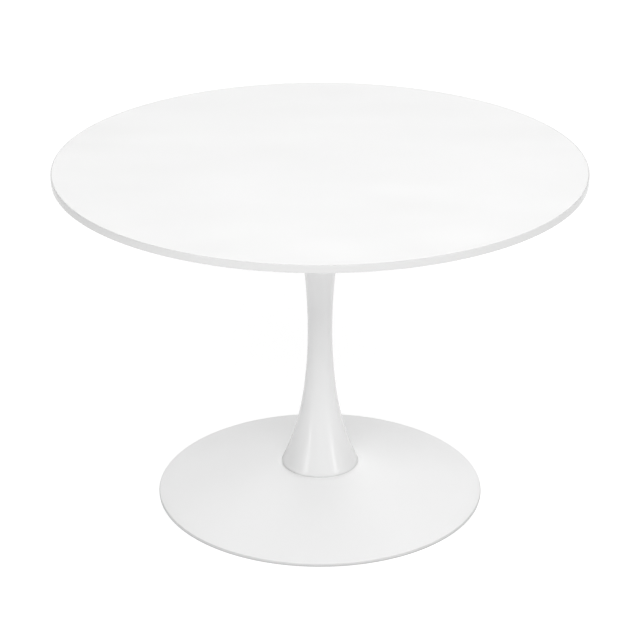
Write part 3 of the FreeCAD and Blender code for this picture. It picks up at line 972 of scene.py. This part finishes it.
# %% Turn the button-head screws
M6_HEAD_HEIGHT = 0.0033
M6_HEAD_FLAT = 0.0029
M6_SOCKET = 0.004
M6_SOCKET_DEPTH = 0.002
SOCKET_POINT = 0.0006
M6_SHANK = 0.003
DOME_STEPS = 6
SCREW_STEPS = 48


def button_screw(size):
    """A screw with its domed head down, on its own middle."""
    low, high = -size.z / 2, size.z / 2
    head = size.x / 2
    bearing = low + M6_HEAD_HEIGHT
    dome = []
    for step in range(DOME_STEPS + 1):
        angle = math.pi / 2 * step / DOME_STEPS
        radius = M6_HEAD_FLAT + (head - M6_HEAD_FLAT) * math.sin(angle)
        dome.append((radius, bearing - M6_HEAD_HEIGHT * math.cos(angle)))
    shank = [(M6_SHANK, bearing), (M6_SHANK, high - END_CHAMFER), (M6_SHANK - END_CHAMFER, high)]

    def outline(angle):
        socket = hex_radius(angle, M6_SOCKET)
        floor_of_socket = low + M6_SOCKET_DEPTH
        well = [(0, floor_of_socket + SOCKET_POINT), (socket, floor_of_socket), (socket, low)]
        return well + dome + shank + [(0, high)]

    return stitched(outline, SCREW_STEPS)


screws = [at(button_screw(size), middle) for middle, size in copies_in("spider_screws")]
make_piece("arm_screws", screws, "spider_screws")

# %% [markdown]
# ## Folded arms
#
# Each arm of the spider is one strip of sheet steel. Its web lies flat against the board, and
# two flanges are folded down to stiffen it, deeper at the hub where the load is. A box with a
# bevel would round every edge. Here a section is lofted along the arm instead, so that the
# folds have the wide radius of a press brake and the cut edges stay crisp.

# %% Draw the section of an arm
ARM_HALF_WIDTH = 0.018
ARM_SHEET = 0.0025
FOLD_ROUND = 0.004
CUT_ROUND = 0.0003
FOLD_STEPS = 5


def arm_section(half, depth, fold):
    """The channel's corners across the arm (side, drop), with flanges down to a depth."""
    inner_fold = max(fold - ARM_SHEET, 0.0)
    edge = max(half - ARM_SHEET, 0.0)
    outer, inner = [(half, depth)], [(edge, depth)]
    for step in range(FOLD_STEPS + 1):
        angle = math.pi / 2 * step / FOLD_STEPS
        cos, sin = math.cos(angle), math.sin(angle)
        outer.append((half - fold + fold * cos, fold - fold * sin))
        side = max(edge - inner_fold + inner_fold * cos, 0.0)
        inner.append((side, ARM_SHEET + inner_fold - inner_fold * sin))
    mirrored = [(-side, drop) for side, drop in reversed(outer)]
    return outer + mirrored + [(-side, drop) for side, drop in inner] + inner[::-1]


# %% Fold the four arms
ARM_INNER_END = 0.026
FLANGE_START = 0.1025
FLANGE_CUT = 0.0001
DEPTH_AT_HUB = 0.020
DEPTH_AT_TIP = 0.010
TIP_STEPS = 10
ARM_COUNT = 4
FIRST_ARM = 45

arm_top = low_and_high("spider_arm_1")[1]
arm_end = max(reach for reach, _ in reach_and_height("spider_arm_1"))
flange_end = arm_end - ARM_HALF_WIDTH
stations = [
    (ARM_INNER_END, ARM_HALF_WIDTH, ARM_SHEET, CUT_ROUND),
    (FLANGE_START - FLANGE_CUT, ARM_HALF_WIDTH, ARM_SHEET, CUT_ROUND),
    (FLANGE_START, ARM_HALF_WIDTH, DEPTH_AT_HUB, FOLD_ROUND),
    (flange_end, ARM_HALF_WIDTH, DEPTH_AT_TIP, FOLD_ROUND),
    (flange_end + FLANGE_CUT, ARM_HALF_WIDTH, ARM_SHEET, CUT_ROUND),
]
for step in range(1, TIP_STEPS):
    angle = math.pi / 2 * step / TIP_STEPS
    along = flange_end + ARM_HALF_WIDTH * math.sin(angle)
    stations.append((along, ARM_HALF_WIDTH * math.cos(angle), ARM_SHEET, CUT_ROUND))

arm_sections = []
for along, half, depth, fold in stations:
    section = arm_section(half, depth, fold)
    arm_sections.append([(along, side, arm_top - drop) for side, drop in section])
folded_arm = lofted(arm_sections)
arm_directions = [math.radians(FIRST_ARM + 360 / ARM_COUNT * i) for i in range(ARM_COUNT)]
for number, direction in enumerate(arm_directions, 1):
    make_piece(f"folded_arm_{number}", [at(folded_arm, (0, 0, 0), direction)], f"spider_arm_{number}")

# %% [markdown]
# ### Welds
#
# The arms, the seat plate and the glide ring are welded. A weld is a row of small overlapping
# drops, and that ripple tells the eye at once how the parts are joined. It could be a bump
# pattern on a plain fillet, but its outline shows against the plates, so it is real geometry.

# %% Lay a bead of weld
RIPPLE = 0.0026
RIPPLE_SHARE = 0.16
BEAD_SIDES = 10
STEPS_PER_RIPPLE = 4
BEAD_TAPER = 0.2
TAPER_RATE = 12


def weld_bead(radius, height, size, middle=0.0, sweep=2 * math.pi):
    """A bead along a circle round the table's middle, centred on an angle."""
    ripples = round(radius * sweep / RIPPLE)
    whole = sweep == 2 * math.pi

    def outline(angle):
        along = angle / sweep
        swell = 1 - RIPPLE_SHARE * abs(math.cos(math.pi * ripples * along))
        if not whole:
            swell *= min(1.0, BEAD_TAPER + TAPER_RATE * min(along, 1 - along))
        circle = []
        for side in range(BEAD_SIDES):
            turn = 2 * math.pi * side / BEAD_SIDES
            across = size * swell * math.cos(turn)
            circle.append((radius + across, height + size * swell * math.sin(turn)))
        return circle

    bead = stitched(outline, ripples * STEPS_PER_RIPPLE, sweep)
    return at(bead, (0, 0, 0), middle - sweep / 2)


# %% Weld the arms, the seat plate and the glide ring
BEAD_SIZE = 0.0018
ARM_WELD_SINK = 0.0008
SEAT_WELD_SINK = 0.0006
RING_WELD_SINK = 0.0002
ARM_WELD_SWEEP = math.radians(16)
RING_WELD_SWEEP = math.radians(11)
RING_WELDS = 6

hub_high = low_and_high("spider_hub")[1]
hub_radius = outer_radius("spider_hub")
arm_welds = [
    weld_bead(hub_radius, hub_high - ARM_WELD_SINK, BEAD_SIZE, direction, ARM_WELD_SWEEP)
    for direction in arm_directions
]
make_piece("arm_welds", arm_welds, slot="frame_paint")

seat_high = low_and_high("crown_plate")[1]
seat_weld = weld_bead(outer_radius("crown_plate"), seat_high - SEAT_WELD_SINK, BEAD_SIZE)
make_piece("seat_plate_weld", [seat_weld], slot="base_paint")

ring_low = low_and_high("glide_ring")[0]
ring_reach = cone_reach(ring_low, sheet_drop)
ring_welds = [
    weld_bead(
        ring_reach, ring_low - RING_WELD_SINK, BEAD_SIZE, 2 * math.pi * i / RING_WELDS, RING_WELD_SWEEP
    )
    for i in range(RING_WELDS)
]
make_piece("glide_ring_welds", ring_welds, slot="base_paint")

# %% [markdown]
# ## The glides
#
# Six screw feet level the table. Each is an M8 stud with a hexagonal collar for a spanner, and
# its ball end snaps into a nylon pad that stays still on the floor while the stud turns. The
# studs and the pads ride on their own bodies, so the thread really turns when the joint does.

# %% Turn the studs
BALL_RADIUS = 0.003
BALL_HEIGHT = 0.0043
NECK_RADIUS = 0.002
COLLAR = 0.0011
COLLAR_GAP = 0.00006
COLLAR_ROUND = 0.00015
BALL_STEPS = 10
M8_RADIUS = 0.004

collar_high = low_and_high("glide_nuts")[0] - COLLAR_GAP
collar_low = collar_high - COLLAR


def ball_side(radius, start, end):
    """A ball's side from one elevation to another, at the height of the pads' sockets."""
    side = []
    for step in range(BALL_STEPS + 1):
        angle = start + (end - start) * step / BALL_STEPS
        side.append((radius * math.cos(angle), BALL_HEIGHT + radius * math.sin(angle)))
    return side


def glide_stud(size, high):
    """A threaded stud over a hexagonal collar, a neck and a ball, standing on the floor."""
    across = min(size.x, size.y)
    corner = 0.0 if size.x > size.y else math.pi / 6
    ball = ball_side(BALL_RADIUS, -math.pi / 2, math.acos(NECK_RADIUS / BALL_RADIUS))

    def outline(angle):
        flat = hex_radius(angle, across, corner)
        collar = [
            (NECK_RADIUS, collar_low),
            (flat - COLLAR_ROUND, collar_low),
            (flat, collar_low + COLLAR_ROUND),
            (flat, collar_high - COLLAR_ROUND),
            (flat - COLLAR_ROUND, collar_high),
        ]
        thread = thread_rows(M8_RADIUS, collar_high, high, M8_PITCH, angle)
        return ball + collar + thread + [(0, high)]

    return stitched(outline, HEX_STEPS)


# %% Mould the pads
PAD_ARRIS = 0.001
PAD_TAPER = 0.0015
SOCKET_RADIUS = 0.00306
MOUTH_RADIUS = 0.0023
PAD_STEPS = 64


def glide_pad(radius, height):
    """A round pad with a tapered side and a ball socket."""
    side = rounded([
        (0, 0, 0),
        (radius, 0, PAD_ARRIS),
        (radius - PAD_TAPER, height, PAD_ARRIS),
        (MOUTH_RADIUS, height, 0),
    ], 5)
    mouth = math.acos(MOUTH_RADIUS / SOCKET_RADIUS)
    outline = side + ball_side(SOCKET_RADIUS, mouth, -math.pi / 2)
    return stitched(lambda angle: outline, PAD_STEPS)


# %% Place the glides
glide_count = sum(node.startswith("glide_pad_") for node in frame["nodes"])
for number in range(1, glide_count + 1):
    pad_middle, pad_size = copies_in(f"glide_pad_{number}", 1.0)[0]
    stud_middle, stud_size = copies_in(f"glide_stud_{number}", 1.0)[0]
    place = (pad_middle.x, pad_middle.y, 0)
    pad = at(glide_pad(pad_size.x / 2, pad_size.z), place)
    stud = at(glide_stud(stud_size, stud_middle.z + stud_size.z / 2), place)
    make_piece(f"levelling_pad_{number}", [pad], f"glide_pad_{number}")
    make_piece(f"levelling_stud_{number}", [stud], f"glide_stud_{number}")

# %% Finish
size = {
    "cad": [list(corner) for corner in cad_box],
    "visual": [list(corner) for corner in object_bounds()],
}
print("CAD box", size["cad"], "visual box", size["visual"])
